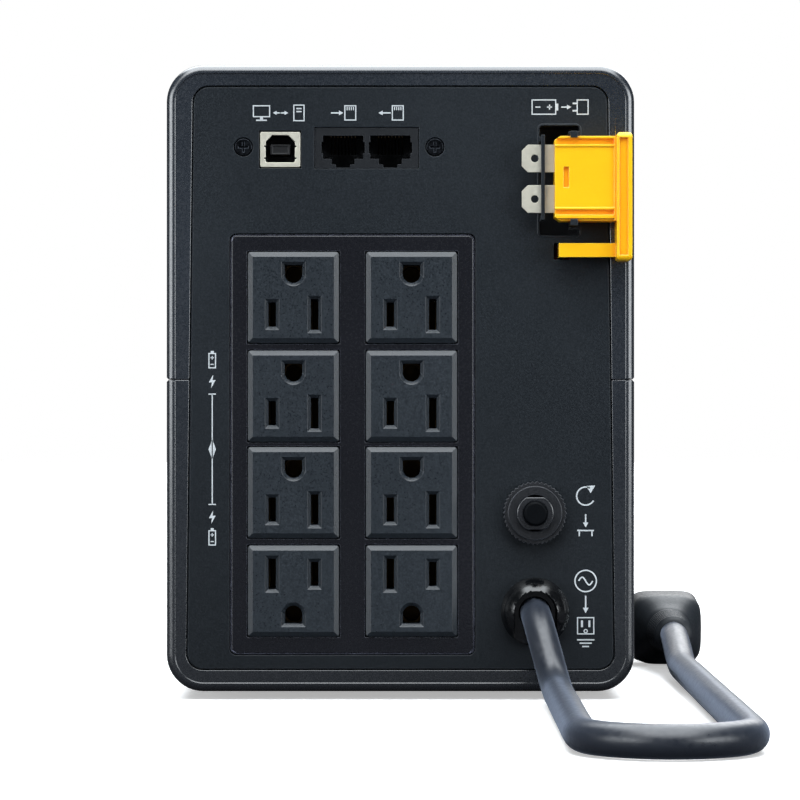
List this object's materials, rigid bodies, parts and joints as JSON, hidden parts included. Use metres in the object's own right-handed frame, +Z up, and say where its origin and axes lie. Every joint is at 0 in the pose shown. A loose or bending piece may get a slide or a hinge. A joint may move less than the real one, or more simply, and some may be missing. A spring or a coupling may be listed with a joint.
{
  "type": "uninterruptible power supply",
  "caption": "Tower uninterruptible power supply with grounded receptacles, data ports, reset breaker, parked battery link plug and an attached mains cord.",
  "frame": {"origin": "middle of the casing's footprint, on the floor plane that the rubber feet stand on", "axes": "+Z up; -Y towards the connection panel at the rear, +Y towards the front bezel; +X to the right when facing the connection panel"},
  "size_m": [0.1717, 0.5267, 0.19],
  "materials": {
    "battery_plastic": "moulded ABS",
    "bezel_plastic": "fine-grained satin moulded plastic",
    "black_insert": "moulded nylon",
    "black_wire": "wire insulation",
    "board_green": "solder-masked laminate",
    "breaker_plastic": "moulded phenolic",
    "bright_steel": "zinc plated",
    "button_plastic": "gloss plastic",
    "chip_epoxy": "moulded epoxy",
    "coil_wrap": "taped copper winding",
    "cord_vinyl": "satin vinyl jacket",
    "core_steel": "varnished laminations",
    "dark_screw_steel": "black oxide",
    "foot_rubber": "dull black rubber",
    "gold_contact": "gold flashed",
    "green_wire": "wire insulation",
    "jack_plastic": "moulded thermoplastic",
    "lens_plastic": "translucent acrylic",
    "light_pipe": "translucent acrylic",
    "nut_plastic": "moulded nylon",
    "outlet_plastic": "grained plastic",
    "panel_plastic": "fine-grained satin moulded plastic",
    "parts_mixed": "relay and capacitor sleeves",
    "plate_plastic": "smooth satin plastic",
    "plug_vinyl": "moulded vinyl",
    "plunger_plastic": "moulded nylon",
    "red_wire": "wire insulation",
    "relief_plastic": "glossy nylon",
    "shell_plastic": "fine-grained satin moulded plastic",
    "sink_aluminium": "mill finish",
    "spring_brass": "mill finish",
    "switch_plastic": "moulded nylon",
    "tin_plate": "matte tin plate",
    "white_wire": "wire insulation",
    "yellow_plastic": "semi-gloss moulded plastic",
    "zinc_sheet": "galvanised sheet"
  },
  "bodies": {
    "cabinet": {"upper_shell": "shell_plastic", "lower_shell": "shell_plastic", "rear_panel": "panel_plastic", "front_bezel": "bezel_plastic", "rubber_feet": "foot_rubber", "case_screws": "bright_steel", "outlet_plate": "plate_plastic", "outlet_1": "outlet_plastic", "outlet_2": "outlet_plastic", "outlet_3": "outlet_plastic", "outlet_4": "outlet_plastic", "outlet_5": "outlet_plastic", "outlet_6": "outlet_plastic", "outlet_7": "outlet_plastic", "outlet_8": "outlet_plastic", "live_contacts": "spring_brass", "neutral_contacts": "spring_brass", "ground_contacts": "spring_brass", "live_leads": "black_wire", "neutral_leads": "white_wire", "ground_leads": "green_wire", "usb_shell": "tin_plate", "usb_insert": "black_insert", "usb_contacts": "gold_contact", "network_jack": "jack_plastic", "network_contacts": "gold_contact", "port_board": "board_green", "port_bracket": "zinc_sheet", "port_screws": "dark_screw_steel", "battery_socket": "black_insert", "socket_contacts": "spring_brass", "breaker_body": "breaker_plastic", "breaker_nut": "nut_plastic", "breaker_tabs": "tin_plate", "strain_relief": "relief_plastic", "power_cord": "cord_vinyl", "mains_plug": "plug_vinyl", "mains_prongs": "spring_brass", "button_ring": "light_pipe", "status_lenses": "lens_plastic", "front_board": "board_green", "power_switch": "switch_plastic", "battery_case": "battery_plastic", "battery_tabs": "tin_plate", "battery_cables": "red_wire", "transformer_core": "core_steel", "transformer_coil": "coil_wrap", "transformer_bracket": "zinc_sheet", "transformer_bolts": "bright_steel", "main_board": "board_green", "heat_sinks": "sink_aluminium", "power_transistors": "chip_epoxy", "board_parts": "parts_mixed", "board_screws": "bright_steel", "buzzer": "chip_epoxy"},
    "link_plug": {"plug_housing": "yellow_plastic", "plug_blades": "tin_plate"},
    "breaker_reset": {"reset_button": "black_insert"},
    "front_button": {"power_button": "button_plastic"},
    "plunger": {"switch_plunger": "plunger_plastic"}
  },
  "joints": [
    {"name": "link_plug_slide", "type": "slide", "parent": "cabinet", "child": "link_plug", "axis": [1, 0, 0], "range_m": [0, 0.014]},
    {"name": "breaker_pop", "type": "slide", "parent": "cabinet", "child": "breaker_reset", "axis": [0, -1, 0], "range_m": [0, 0.004]},
    {"name": "power_press", "type": "slide", "parent": "cabinet", "child": "front_button", "axis": [0, -1, 0], "range_m": [0, 0.0015]},
    {"name": "plunger_press", "type": "slide", "parent": "cabinet", "child": "plunger", "axis": [0, -1, 0], "range_m": [0, 0.0015]}
  ],
  "couplings": [
    {"joint": "plunger_press", "follows": "power_press", "ratio": 1}
  ]
}
